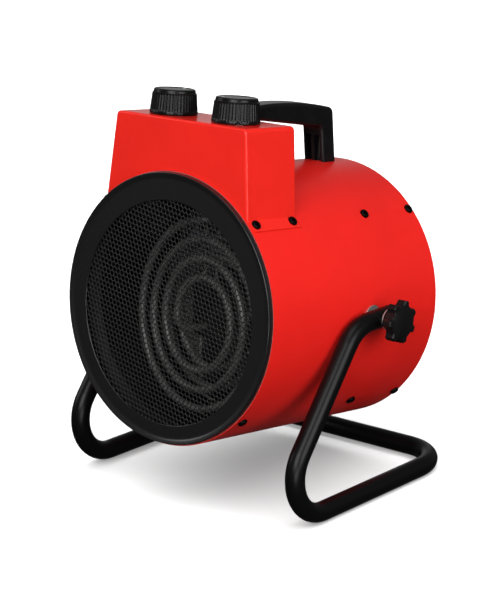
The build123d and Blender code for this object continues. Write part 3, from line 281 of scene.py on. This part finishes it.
# pieces that differ from their slot: the drum is finished outside only, the ring, box, tube, washers and
# grips have a gloss of their own, the duct's zinc is darkened nearly black as painted shade inside the drum,
# and heat has greyed the zinc of the support
ownLook = {
    "drum_shell": powderPaint("red powder paint on rolled steel", redPaint["hex"], redPaint["gloss"],
                              specular=redPaint["shine"], innerHex=redPaint["inner"]),
    "rolled_front_ring": powderPaint("black powder paint on pressed steel", "#161617", 0.24,
                                     peelMm=0.9, peelDepth=0.006),
    "pivot_washers": drawnMetal("zinc-plated washer", "#e2e2de", 0.5, lineMm=(2.0, 0.3), tint=0.02),
    # painted shade: the duct's zinc is darkened nearly black so that it reads as the dim inside of the drum
    "heat_duct": galvanisedSheet("galvanised sheet darkened as painted shade", "#232221", 0.55, spangleMm=9.0, dark=0.6),
    "stand_tube": powderPaint("satin black powder paint on tube", "#0a0a0b", 0.3,
                              peelMm=0.9, peelDepth=0.008, specular=0.15),
    "control_box": powderPaint("red powder paint on folded sheet", "#e5271e", 0.22, specular=0.24),
    "carry_handle": mouldedPlastic("black moulded handle nylon", "#0d0d0e", 0.28, specular=0.2),
    "right_tilt_knob": tiltKnobNylon,
    "left_tilt_knob": tiltKnobNylon,
    "element_support": galvanisedSheet("heat-greyed galvanised bar", "#4a4846", 0.5, spangleMm=9.0, dark=0.6),
}
print("materials made for", len(look), "slots and", len(ownLook), "pieces")


def shadeByAngle(mesh, degrees):
    mesh.shade_smooth()
    mesh.set_sharp_from_angle(angle=math.radians(degrees))


def gridFaces(rows, columns):
    # quads between rows of points, where each row is a closed round of columns
    i, j = np.meshgrid(np.arange(rows - 1), np.arange(columns), indexing="ij")
    start, above, nextJ = i * columns, (i + 1) * columns, (j + 1) % columns
    return np.stack([start + j, start + nextJ, above + nextJ, above + j], -1).reshape(-1, 4)


def capFan(start, columns, centre, flip):
    # triangles from a ring of points to one centre point
    ring = np.arange(columns)
    tris = np.stack([start + ring, start + (ring + 1) % columns, np.full(columns, centre)], -1)
    return tris[:, ::-1] if flip else tris


weldMm = 0.002  # points nearer than this become one


def addPiece(name, points, faces, slotName, body, replaced, angle=35):
    # one closed piece from points in metres, its faces turned outward, riding a body
    mesh = bpy.data.meshes.new(name)
    mesh.from_pydata(np.asarray(points).tolist(), [], [np.asarray(f).tolist() for f in faces])
    shape = bmesh.new()
    shape.from_mesh(mesh)
    bmesh.ops.remove_doubles(shape, verts=shape.verts, dist=weldMm * mm)
    bmesh.ops.recalc_face_normals(shape, faces=shape.faces)
    shape.to_mesh(mesh)
    shape.free()
    mesh.validate()
    shadeByAngle(mesh, angle)
    piece = bpy.data.objects.new(name, mesh)
    scene.collection.objects.link(piece)
    mesh.materials.append(ownLook.get(name) or look[slotName])
    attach(piece, body)
    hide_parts(*replaced)


def sweptTube(path, radius, sides):
    # points and faces of a round tube along a path, its frame carried along without twist
    path = np.asarray(path, float)
    tangents = np.gradient(path, axis=0)
    tangents /= np.linalg.norm(tangents, axis=1)[:, None]
    side = np.cross(tangents[0], [0.13, 0.27, 0.95])  # any line that no path starts along
    side /= np.linalg.norm(side)
    sideways = []
    for tangent in tangents:
        side = side - tangent * (side @ tangent)
        side /= np.linalg.norm(side)
        sideways.append(side)
    sideways = np.array(sideways)
    upright = np.cross(tangents, sideways)
    turn = np.linspace(0, 2 * math.pi, sides, endpoint=False)
    rings = (path[:, None, :] + radius * (np.cos(turn)[None, :, None] * sideways[:, None, :]
                                          + np.sin(turn)[None, :, None] * upright[:, None, :]))
    count = len(path)
    points = np.vstack([rings.reshape(-1, 3), path[0], path[-1]])
    faces = [*gridFaces(count, sides), *capFan(0, sides, count * sides, True),
             *capFan((count - 1) * sides, sides, count * sides + 1, False)]
    return points, faces


def arcPoints(centre, radius, start, end, stepMm=2.0):
    # points of an arc in a plane, angles in degrees
    span = math.radians(abs(end - start)) * radius
    turn = np.radians(np.linspace(start, end, max(6, int(span / stepMm) + 1)))
    return np.stack([centre[0] + radius * np.cos(turn), centre[1] + radius * np.sin(turn)], -1)


def smoothLine(points, steps=4):
    # cubic through every point: each piece blends four neighbours by the Catmull-Rom weights
    points = np.asarray(points, float)
    padded = np.vstack([2 * points[0] - points[1], points, 2 * points[-1] - points[-2]])
    t = np.linspace(0, 1, steps, endpoint=False)[None, :, None]
    a, b, c, d = padded[:-3, None], padded[1:-2, None], padded[2:-1, None], padded[3:, None]
    curve = 0.5 * (2 * b + (c - a) * t + (2 * a - 5 * b + 4 * c - d) * t ** 2
                   + (3 * b - a - 3 * c + d) * t ** 3)
    return np.vstack([curve.reshape(-1, points.shape[1]), points[-1]])


materialOf = {row["node"]: row["material_slot"] for row in frame["record"]["subparts"]}
for node, piece in frame["nodes"].items():
    piece.data.materials.clear()
    piece.data.materials.append(ownLook.get(node) or look[materialOf[node]])
    shadeByAngle(piece.data, 30)
print("CAD pieces dressed:", len(frame["nodes"]))

# front ring: sheet pressed to a rolled bead near its rim, a level face and a mouth turned to a soft edge;
# millimetres, with the mouth's middle a drop below the drum's axis and the level face ending at a share
# of the way in from the rim to the mouth
ring = {"rim": 108.8, "flangeDepth": 16.0, "bead": 4.4, "face": -3.0, "sheet": 1.0, "mouth": 90.0,
        "drop": 3.6, "level": 0.98, "columns": 288}


def makeRing():
    # the section's rows keep their radius at the rim and follow the off-centre mouth at its edge:
    # row radius = share * mouth radius at that angle + (1 - share) * own radius + offset
    face, sheet, rim, deep = ring["face"], ring["sheet"], ring["rim"], ring["flangeDepth"]
    crest, level, edge = ring["bead"], ring["level"], sheet / 2
    # (radius, depth) over the outside from rim to face, then on the inside back to the rim
    crown = smoothLine([(rim, 0.4), (rim, -0.9), (rim - 0.1, -2.4), (rim - 0.25, -crest + 0.5),
                        (rim - 0.42, -crest + 0.14), (rim - 0.75, -crest), (rim - 1.15, -crest + 0.08),
                        (rim - 3.0, -3.75), (rim - 4.4, -3.18), (rim - 5.6, face), (rim - 7, face)])
    under = smoothLine([(rim - 7, face + sheet), (rim - 5.6, face + sheet), (rim - 4.2, -2.5),
                        (rim - 2.3, -3.4), (rim - 1.6, -2.4), (rim - sheet, -0.9), (rim - sheet, 0.4)])
    turn = np.radians(np.linspace(90, -90, 9))
    # rows are (share, own radius, offset, depth), and begin and end at the flange's rounded foot
    rows = [(0, rim - edge, 0, deep - 0.1), (0, rim, 0, deep - 0.4)]
    rows += [(0, r, 0, d) for r, d in crown]
    rows += [(level, rim, 0, face)]
    rows += [(1, 0, edge * (1 - math.cos(t)), face + edge - edge * math.sin(t)) for t in turn]
    rows += [(level, rim, 0, face + sheet)]
    rows += [(0, r, 0, d) for r, d in under]
    rows += [(0, rim - sheet, 0, deep - 0.4), (0, rim - edge, 0, deep - 0.1)]
    share, own, offset, depth = np.array(rows).T[:, :, None]
    angle = np.linspace(0, 2 * math.pi, ring["columns"], endpoint=False)[None]
    drop = ring["drop"]
    mouth = np.sqrt(ring["mouth"] ** 2 - (drop * np.cos(angle)) ** 2) - drop * np.sin(angle)
    radius = share * mouth + (1 - share) * own + offset
    points = np.stack([radius * np.cos(angle), np.broadcast_to(depth, radius.shape),
                       radius * np.sin(angle)], -1)
    faces = gridFaces(len(rows), ring["columns"])
    addPiece("rolled_front_ring", fromDrum(points.reshape(-1, 3)), faces, "black_paint", "heater",
             ["front_ring"], 60)


makeRing()
print("front ring made")

# front net: thin punched sheet with six-sided holes in rows that lie off the horizontal, millimetres; crown
# and belly are shares of the strand at its faces and at mid depth, and margin is a share of the pitch
net = {"pitch": 4.27, "strand": 0.82, "crown": 0.72, "belly": 1.15, "worn": 0.12, "sheet": 0.9,
       "radius": 95.0, "margin": 0.65, "turn": -10.0, "drop": 3.6, "front": -1.9}


def makeNet():
    # each cell is a hexagon with a six-sided hole, and the strands bulge towards the hole at mid depth
    pitch, sides = net["pitch"], 6
    rowStep = pitch * math.sqrt(3) / 2
    rows = int(net["radius"] / rowStep)
    corner = np.radians(np.arange(sides) * 60 + 30)
    unit = np.stack([np.cos(corner), np.sin(corner)], -1)
    outer = unit * pitch / math.sqrt(3)
    edgeHole = unit * (pitch - net["strand"] * net["crown"]) / math.sqrt(3)
    midHole = unit * (pitch - net["strand"] * net["belly"]) / math.sqrt(3)
    row, column = np.meshgrid(np.arange(-rows, rows + 1), np.arange(-rows - 2, rows + 3), indexing="ij")
    x = (column + (row % 2) / 2) * pitch
    z = row * rowStep
    keep = np.hypot(x, z) < net["radius"] - pitch * net["margin"]
    centres = np.stack([x[keep], z[keep]], -1)
    front, back, worn = net["front"], net["front"] + net["sheet"], net["worn"]
    middle = (front + back) / 2
    layers = [(outer, front), (edgeHole, front + worn), (midHole, middle), (edgeHole, back - worn),
              (outer, back)]
    flat = np.concatenate([np.concatenate([centres[:, None, :] + shape[None],
                                           np.full((len(centres), sides, 1), depth)], -1)[:, None]
                           for shape, depth in layers], 1)
    points = flat.reshape(-1, 3)
    cell = np.arange(len(centres))[:, None, None] * len(layers) * sides
    layer = np.arange(len(layers) - 1)[None, :, None] * sides
    side = np.arange(sides)[None, None, :]
    nextSide = (side + 1) % sides
    quads = np.stack([cell + layer + side, cell + layer + nextSide, cell + layer + sides + nextSide,
                      cell + layer + sides + side], -1).reshape(-1, 4)
    # corners of neighbouring cells that fall on the same place of a fine grid become one
    gridPerMm = 200
    keys = np.round(points * gridPerMm).astype(np.int64)
    _, index, inverse = np.unique(keys, axis=0, return_index=True, return_inverse=True)
    inverse = inverse.reshape(-1)
    points, quads = points[index], inverse[quads]
    # the sheet's outer edge: edges used once on the front are walled to their twins on the back
    edges = np.sort(np.concatenate([quads[:, [0, 1]], quads[:, [2, 3]]]), axis=1)
    found, count = np.unique(edges, axis=0, return_counts=True)
    rim = found[count == 1]
    twinPerMm = 50
    level = 1e-6  # mm within which a depth is a face's own

    def across(point):
        # the place in the sheet that a front corner and its twin on the back share
        return tuple(np.round(point[:2] * twinPerMm).astype(int))

    twins = {across(p): i for i, p in enumerate(points) if abs(p[2] - back) < level}
    walls = [[a, b, twins[across(points[b])], twins[across(points[a])]] for a, b in rim
             if abs(points[a][2] - front) < level and abs(points[b][2] - front) < level]
    turn = math.radians(net["turn"])
    x = points[:, 0] * math.cos(turn) - points[:, 1] * math.sin(turn)
    z = points[:, 0] * math.sin(turn) + points[:, 1] * math.cos(turn)
    placed = np.stack([x, points[:, 2], z - net["drop"]], -1)
    addPiece("fine_front_net", fromDrum(placed), [*quads, *walls], "net_black", "heater", ["front_net"], 50)
    print("net made:", len(centres), "holes")


makeNet()

# heating elements: each a spiral of half turns with its two ends bent straight back, millimetres and degrees
element = {"tube": 3.25, "firstReach": 30.5, "pitch": 15.6, "depth": 36.0, "drop": 12.6, "side": 2.0,
           "turn": 9.0, "spacing": 16.0, "bend": 14.0, "frontLeaves": 101.3, "rearLeaves": -80.0,
           "tailEnd": 41.0, "sides": 18}


def spiralPath(planeDepth, frontOne):
    # half turns centred by turns left and right of the middle, so that the spiral widens by one pitch a turn
    left = [element["firstReach"] + element["pitch"] * k for k in range(4)]
    right = [reach + element["pitch"] / 2 for reach in left]
    halves = []
    if frontOne:
        for k in range(3):
            halves += [(left[k], right[k], 180, 0), (left[k + 1], right[k], 0, -180)]
        halves.append((left[3], right[3], 180, element["frontLeaves"]))
        inward = np.array([0, 0, 1.0])
    else:
        for k in range(2):
            halves += [(left[k + 1], right[k], 0, -180), (left[k + 1], right[k + 1], 180, 0)]
        halves.append((left[3], right[2], 0, element["rearLeaves"]))
        inward = np.array([0, 0, -1.0])
    flat = []
    for l, r, start, end in halves:
        arc = arcPoints(((r - l) / 2, 0), (r + l) / 2, start, end)
        flat.append(arc if not flat else arc[1:])
    flat = np.vstack(flat)
    spiral = np.stack([flat[:, 0], np.full(len(flat), planeDepth), flat[:, 1]], -1)
    heading = spiral[-1] - spiral[-2]
    heading /= np.linalg.norm(heading)
    bend, back = element["bend"], np.array([0, 1.0, 0])
    quarter = np.linspace(0, math.pi / 2, 12)[1:]
    leaving = [spiral[-1] + heading * bend * math.sin(t) + back * bend * (1 - math.cos(t)) for t in quarter]
    entering = [spiral[0] - inward * bend * math.sin(t) + back * bend * (1 - math.cos(t)) for t in quarter]
    tail = np.array([leaving[-1][0], element["tailEnd"], leaving[-1][2]])
    head = np.array([entering[-1][0], element["tailEnd"], entering[-1][2]])
    return np.vstack([head, entering[::-1], spiral, leaving, tail])


def makeElements():
    turn = -math.radians(element["turn"])
    spin = np.array([[math.cos(turn), -math.sin(turn), 0], [math.sin(turn), math.cos(turn), 0], [0, 0, 1]])
    for name, depth, frontOne in (("front_element", 0.0, True), ("rear_element", element["spacing"], False)):
        path = spiralPath(depth, frontOne) @ spin.T + [element["side"], element["depth"], -element["drop"]]
        points, faces = sweptTube(path, element["tube"], element["sides"])
        addPiece(name + "_tube", fromDrum(points), faces, "element_steel", "heater", [name])


makeElements()
print("elements made")

# dials: tapered, fine ribs between a plain foot and a plain crown that stands back, top dished, millimetres
dial = {"base": 19.4, "top": 17.5, "tall": 20.0, "foot": 2.4, "crown": 3.4, "step": 0.6, "edge": 1.8,
        "lip": 0.4, "dish": 0.5, "sink": 0.06, "ribs": 45, "cut": 0.5, "ribFade": 0.9, "ribRows": 34,
        "columnsPerRib": 10, "bore": 3.0, "boreTop": 14.0, "recess": 10.0, "recessTall": 7.0,
        "depth": 27.0, "boxTop": 150.6, "lift": 0.5, "middle": 2.2, "pitch": 66.5}


def makeDial(name, side, body):
    # turned section; between foot and shoulder a cosine wave of the angle, one to a rib, cuts back its radius
    base, bore, recess, edge = dial["base"], dial["bore"], dial["recess"], dial["edge"]
    tall = dial["tall"] - dial["sink"]
    slope = (base - dial["top"]) / dial["tall"]
    shoulder = dial["tall"] - dial["crown"]
    crown = dial["top"] - dial["step"]
    # rows are (radius, height, share of the rib's cut), from the bore's end out round the foot to the top
    rows = [(0, dial["boreTop"], 0), (bore, dial["boreTop"], 0), (bore, dial["recessTall"], 0),
            (recess, dial["recessTall"], 0), (recess, 0, 0), (base - 0.4, 0, 0),
            (base - 0.1, 0.12, 0), (base, 0.45, 0)]
    heights = np.linspace(dial["foot"], shoulder - 0.15, dial["ribRows"])
    ends = np.minimum(heights - heights[0], heights[-1] - heights)
    shares = np.sqrt(np.clip(ends / dial["ribFade"], 0, 1))
    rows += [(base - slope * h, h, s) for h, s in zip(heights, shares)]
    wide = base - slope * shoulder
    rows += [(wide - 0.25, shoulder + 0.08, 0), (crown + 0.12, shoulder + 0.5, 0), (crown, shoulder + 0.8, 0)]
    turn = np.radians(np.linspace(0, 90, 9))
    rows += [(crown - edge + edge * math.cos(t), tall - edge + edge * math.sin(t), 0) for t in turn]
    inner = crown - edge - dial["lip"]
    rows += [(inner + 0.05, tall, 0), (inner - 0.25, tall - 0.25, 0), (inner - 0.6, tall - 0.44, 0),
             (inner - 1.2, tall - dial["dish"], 0), (0, tall - dial["dish"], 0)]
    radius, height, share = np.array(rows).T[:, :, None]
    angle = np.linspace(0, 2 * math.pi, dial["ribs"] * dial["columnsPerRib"], endpoint=False)[None]
    radius = radius - share * dial["cut"] * (0.5 - 0.5 * np.cos(dial["ribs"] * angle))
    x = dial["middle"] + side * dial["pitch"] / 2
    points = np.stack([x + radius * np.cos(angle), dial["depth"] + radius * np.sin(angle),
                       np.broadcast_to(dial["boxTop"] + dial["lift"] + height, radius.shape)], -1)
    faces = gridFaces(len(rows), angle.shape[1])
    addPiece("ribbed_" + name + "_dial", fromDrum(points.reshape(-1, 3)), faces, "black_plastic", body,
             [name + "_knob"], 40)


makeDial("switch", -1, "switch_dial")
makeDial("thermostat", 1, "thermostat_dial")
print("dials made")

# camera: place (mm) and turns (degrees) in the drum's frame, fitted to the photograph; clip is in metres
view = {"place": (1148.95, -1242.0, 322.85), "azimuth": 40.47, "elevation": 10.12, "roll": 3.47,
        "focalPx": 2169.858, "centrePx": (255.845, 287.518), "tall": 600, "wide": 500,
        "sensorMm": 36, "clip": (0.05, 50)}


def placeCamera():
    az, el, roll = (math.radians(view[key]) for key in ("azimuth", "elevation", "roll"))
    back = np.array([math.sin(az) * math.cos(el), -math.cos(az) * math.cos(el), math.sin(el)])
    level = np.cross(-back, [0, 0, 1.0])
    level /= np.linalg.norm(level)
    steep = np.cross(level, -back)
    right = math.cos(roll) * level + math.sin(roll) * steep
    upward = -math.sin(roll) * level + math.cos(roll) * steep
    axes = drumTurn @ np.stack([right, upward, back], -1)
    lens = bpy.data.cameras.new("main_camera")
    lens.sensor_width = view["sensorMm"]
    lens.lens = view["focalPx"] * view["sensorMm"] / view["tall"]
    lens.shift_x = (view["wide"] / 2 - view["centrePx"][0]) / view["tall"]
    lens.shift_y = (view["centrePx"][1] - view["tall"] / 2) / view["tall"]
    lens.clip_start, lens.clip_end = view["clip"]
    camera = bpy.data.objects.new("main_camera", lens)
    matrix = Matrix(axes.tolist()).to_4x4()
    matrix.translation = Vector(fromDrum([view["place"]])[0])
    camera.matrix_world = matrix
    scene.collection.objects.link(camera)
    scene.camera = camera


placeCamera()

# a white paper floor under its own lamp, a white wall round it, and soft boxes in a dim room for the heater;
# metres, watts and degrees, and each glow and room value is a strength of white light
studio = {"half": 7.0, "wallSides": 48, "wallFoot": -0.01, "aim": (0, 0, 0.16),
          "roomAbove": 0.12, "roomBelow": 0.03, "roomFade": (-0.15, 0.1), "floorGlow": 0.27, "wallGlow": 1.0,
          "floorSun": 15.5, "floorSoftness": 95, "sunTravel": (-0.1, 0.32, -0.94),
          "key": {"place": (0.9, -1.9, 1.35), "size": (1.4, 1.4), "power": 45},
          "side": {"place": (2.1, -0.3, 0.85), "size": (1.3, 1.3), "power": 29},
          "low": {"place": (1.3, -1.1, 0.02), "size": (1.0, 0.4), "power": 8},
          "fill": {"place": (-2.1, -1.1, 1.3), "size": (1.2, 1.2), "power": 12},
          "top": {"place": (0.3, -0.5, 2.1), "size": (1.2, 1.2), "power": 10},
          "horizon": {"place": (-1.95, 2.3, 0.62), "size": (1.8, 0.8), "power": 2.0},
          "rear": {"place": (0.7, 2.0, 1.1), "size": (1.4, 1.4), "power": 45},
          "rearPieces": ("rear_grille", "motor_end_cap", "motor_case", "cable_gland", "gland_nut")}


def glowingPaper(name, hexCode, roughness, glow):
    # mat paper with a white glow of its own, so that the ground shows white and shadows on it stay soft
    material, _, _, shader = newMaterial(name)
    shader.inputs["Base Color"].default_value = linear(hexCode)
    shader.inputs["Roughness"].default_value = roughness
    shader.inputs["Specular IOR Level"].default_value = 0.0
    shader.inputs["Emission Color"].default_value = (1, 1, 1, 1)
    shader.inputs["Emission Strength"].default_value = glow
    return material


def studioSheet(name, points, faces, paper, unseenBy):
    mesh = bpy.data.meshes.new(name)
    mesh.from_pydata(points, [], faces)
    mesh.materials.append(paper)
    sheet = bpy.data.objects.new(name, mesh)
    scene.collection.objects.link(sheet)
    for ray in unseenBy:
        setattr(sheet, "visible_" + ray, False)
    return sheet


def makeFloor():
    half = studio["half"]
    corners = [(-half, -half, 0), (half, -half, 0), (half, half, 0), (-half, half, 0)]
    paper = glowingPaper("white paper floor", "#959595", 0.95, studio["floorGlow"])
    floor = studioSheet("studio_floor", corners, [(0, 1, 2, 3)], paper, ("diffuse", "glossy"))
    return floor


def makeWall():
    # a white wall round the floor, so that a level view also has a white ground
    half, sides = studio["half"], studio["wallSides"]
    turn = np.linspace(0, 2 * math.pi, sides, endpoint=False)
    foot = np.stack([half * np.cos(turn), half * np.sin(turn), np.full(sides, studio["wallFoot"])], -1)
    paper = glowingPaper("white paper wall", "#000000", 0.5, studio["wallGlow"])
    wall = studioSheet("studio_wall", np.vstack([foot, foot + [0, 0, half]]).tolist(),
                       gridFaces(2, sides).tolist(), paper, ("diffuse", "glossy", "shadow"))


def makeRoom():
    # what the heater's gloss mirrors: a dim room, a little lighter above than below
    world = bpy.data.worlds.new("studio")
    scene.world = world
    world.use_nodes = True
    sky = world.node_tree
    direction = addNode(sky, "ShaderNodeTexCoord").outputs["Generated"]
    height = addNode(sky, "ShaderNodeSeparateXYZ", links={"Vector": direction}).outputs["Z"]
    level = ranged(sky, height, studio["roomBelow"], studio["roomAbove"], *studio["roomFade"])
    sky.nodes["Background"].inputs["Color"].default_value = (1, 1, 1, 1)
    sky.links.new(level, sky.nodes["Background"].inputs["Strength"])


def towards(direction):
    return Vector(direction).to_track_quat("-Z", "Y").to_euler()


def softBox(name, receivers):
    box = studio[name]
    data = bpy.data.lights.new(name + "_softbox", "AREA")
    data.shape = "RECTANGLE"
    data.size, data.size_y = box["size"]
    data.energy = box["power"]
    light = bpy.data.objects.new(name + "_softbox", data)
    light.location = box["place"]
    light.rotation_euler = towards(Vector(studio["aim"]) - Vector(box["place"]))
    scene.collection.objects.link(light)
    light.light_linking.receiver_collection = receivers


def makeLamps(floor):
    # the floor has a lamp of its own, and the soft boxes leave it alone
    floorOnly = bpy.data.collections.new("floor_only")
    floorOnly.objects.link(floor)
    notFloor = bpy.data.collections.new("all_but_floor")
    notFloor.objects.link(floor)
    notFloor.collection_objects[0].light_linking.link_state = "EXCLUDE"
    sun = bpy.data.lights.new("floor_sun", "SUN")
    sun.energy = studio["floorSun"]
    sun.angle = math.radians(studio["floorSoftness"])
    overhead = bpy.data.objects.new("floor_sun", sun)
    overhead.rotation_euler = towards(studio["sunTravel"])
    overhead.light_linking.receiver_collection = floorOnly
    scene.collection.objects.link(overhead)
    for name in ("key", "side", "low", "fill", "top", "horizon"):
        softBox(name, notFloor)
    # the rear faces away from these, so it has a soft box of its own
    rearPieces = bpy.data.collections.new("rear_pieces")
    for name in studio["rearPieces"]:
        rearPieces.objects.link(frame["nodes"][name])
    softBox("rear", rearPieces)


studioFloor = makeFloor()
makeWall()
makeRoom()
makeLamps(studioFloor)
scene.view_settings.view_transform = "Standard"
print("camera and lights set")
